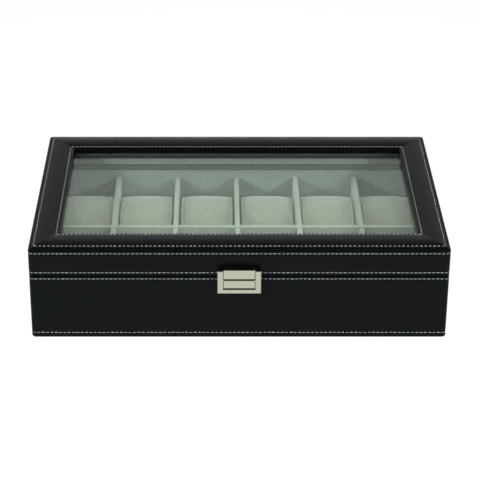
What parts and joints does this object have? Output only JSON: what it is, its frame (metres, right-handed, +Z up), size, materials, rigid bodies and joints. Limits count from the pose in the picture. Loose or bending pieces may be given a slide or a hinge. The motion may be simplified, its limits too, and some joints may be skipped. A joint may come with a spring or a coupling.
{
  "type": "watch box",
  "caption": "Black leather-covered watch box with white stitching, a hinged lid with a glass window, a press lock, velvet dividers and a grid of watch pillows.",
  "frame": {"origin": "centre of the underside, in the plane of the felt that the box stands on", "axes": "+X to the right along the front, -Y out of the front (the lock's side), +Z up"},
  "size_m": [0.31, 0.2141, 0.075],
  "materials": {
    "black_leather": "satin",
    "fibreboard": "matte",
    "grey_velvet": "matte",
    "dark_velvet": "matte",
    "pillow_velvet": "matte",
    "black_felt": "matte",
    "foam": "matte",
    "clear_glass": "polished",
    "satin_nickel": "satin",
    "plated_steel": "satin"
  },
  "bodies": {
    "base": {"base_front_board": "fibreboard", "base_back_board": "fibreboard", "base_left_board": "fibreboard", "base_right_board": "fibreboard", "base_bottom_board": "fibreboard", "base_leather": "black_leather", "underside_felt": "black_felt", "rim_lining": "dark_velvet", "floor_lining": "grey_velvet", "base_front_lining": "grey_velvet", "base_back_lining": "grey_velvet", "base_left_lining": "grey_velvet", "base_right_lining": "grey_velvet", "long_divider": "grey_velvet", "cross_divider_1": "grey_velvet", "cross_divider_2": "grey_velvet", "cross_divider_3": "grey_velvet", "cross_divider_4": "grey_velvet", "cross_divider_5": "grey_velvet", "left_hinge_base_leaf": "plated_steel", "left_hinge_pin": "plated_steel", "right_hinge_base_leaf": "plated_steel", "right_hinge_pin": "plated_steel", "hinge_base_screws": "plated_steel", "lock_body": "satin_nickel", "lock_pin": "plated_steel", "lock_spring": "plated_steel", "lock_screws": "plated_steel"},
    "lid": {"lid_front_board": "fibreboard", "lid_back_board": "fibreboard", "lid_left_board": "fibreboard", "lid_right_board": "fibreboard", "lid_top_frame": "fibreboard", "lid_padding": "foam", "lid_top_leather": "black_leather", "lid_side_leather": "black_leather", "window_glass": "clear_glass", "lid_front_lining": "grey_velvet", "lid_back_lining": "grey_velvet", "lid_left_lining": "grey_velvet", "lid_right_lining": "grey_velvet", "glass_retainer": "black_felt", "left_hinge_lid_leaf": "plated_steel", "right_hinge_lid_leaf": "plated_steel", "hinge_lid_screws": "plated_steel", "strike_plate": "satin_nickel", "strike_screws": "plated_steel"},
    "button": {"lock_button": "satin_nickel"},
    "pillow_front_1": {"pillow_front_1": "pillow_velvet"},
    "pillow_front_2": {"pillow_front_2": "pillow_velvet"},
    "pillow_front_3": {"pillow_front_3": "pillow_velvet"},
    "pillow_front_4": {"pillow_front_4": "pillow_velvet"},
    "pillow_front_5": {"pillow_front_5": "pillow_velvet"},
    "pillow_front_6": {"pillow_front_6": "pillow_velvet"},
    "pillow_rear_1": {"pillow_rear_1": "pillow_velvet"},
    "pillow_rear_2": {"pillow_rear_2": "pillow_velvet"},
    "pillow_rear_3": {"pillow_rear_3": "pillow_velvet"},
    "pillow_rear_4": {"pillow_rear_4": "pillow_velvet"},
    "pillow_rear_5": {"pillow_rear_5": "pillow_velvet"},
    "pillow_rear_6": {"pillow_rear_6": "pillow_velvet"}
  },
  "joints": [
    {"name": "lid_hinge", "type": "hinge", "parent": "base", "child": "lid", "pos_m": [0, 0.1032, 0.0525], "axis": [-1, 0, 0], "range_deg": [0, 95]},
    {"name": "button_press", "type": "hinge", "parent": "base", "child": "button", "pos_m": [0, -0.1056, 0.0506], "axis": [1, 0, 0], "range_deg": [0, 8], "stiffness_Nm_per_rad": 0.02, "springref_deg": -5.73, "deforming": ["lock_spring"]},
    {"name": "pillow_front_1_lift", "type": "slide", "parent": "base", "child": "pillow_front_1", "axis": [0, 0, 1], "range_m": [0, 0.025]},
    {"name": "pillow_front_2_lift", "type": "slide", "parent": "base", "child": "pillow_front_2", "axis": [0, 0, 1], "range_m": [0, 0.025]},
    {"name": "pillow_front_3_lift", "type": "slide", "parent": "base", "child": "pillow_front_3", "axis": [0, 0, 1], "range_m": [0, 0.025]},
    {"name": "pillow_front_4_lift", "type": "slide", "parent": "base", "child": "pillow_front_4", "axis": [0, 0, 1], "range_m": [0, 0.025]},
    {"name": "pillow_front_5_lift", "type": "slide", "parent": "base", "child": "pillow_front_5", "axis": [0, 0, 1], "range_m": [0, 0.025]},
    {"name": "pillow_front_6_lift", "type": "slide", "parent": "base", "child": "pillow_front_6", "axis": [0, 0, 1], "range_m": [0, 0.025]},
    {"name": "pillow_rear_1_lift", "type": "slide", "parent": "base", "child": "pillow_rear_1", "axis": [0, 0, 1], "range_m": [0, 0.025]},
    {"name": "pillow_rear_2_lift", "type": "slide", "parent": "base", "child": "pillow_rear_2", "axis": [0, 0, 1], "range_m": [0, 0.025]},
    {"name": "pillow_rear_3_lift", "type": "slide", "parent": "base", "child": "pillow_rear_3", "axis": [0, 0, 1], "range_m": [0, 0.025]},
    {"name": "pillow_rear_4_lift", "type": "slide", "parent": "base", "child": "pillow_rear_4", "axis": [0, 0, 1], "range_m": [0, 0.025]},
    {"name": "pillow_rear_5_lift", "type": "slide", "parent": "base", "child": "pillow_rear_5", "axis": [0, 0, 1], "range_m": [0, 0.025]},
    {"name": "pillow_rear_6_lift", "type": "slide", "parent": "base", "child": "pillow_rear_6", "axis": [0, 0, 1], "range_m": [0, 0.025]}
  ]
}
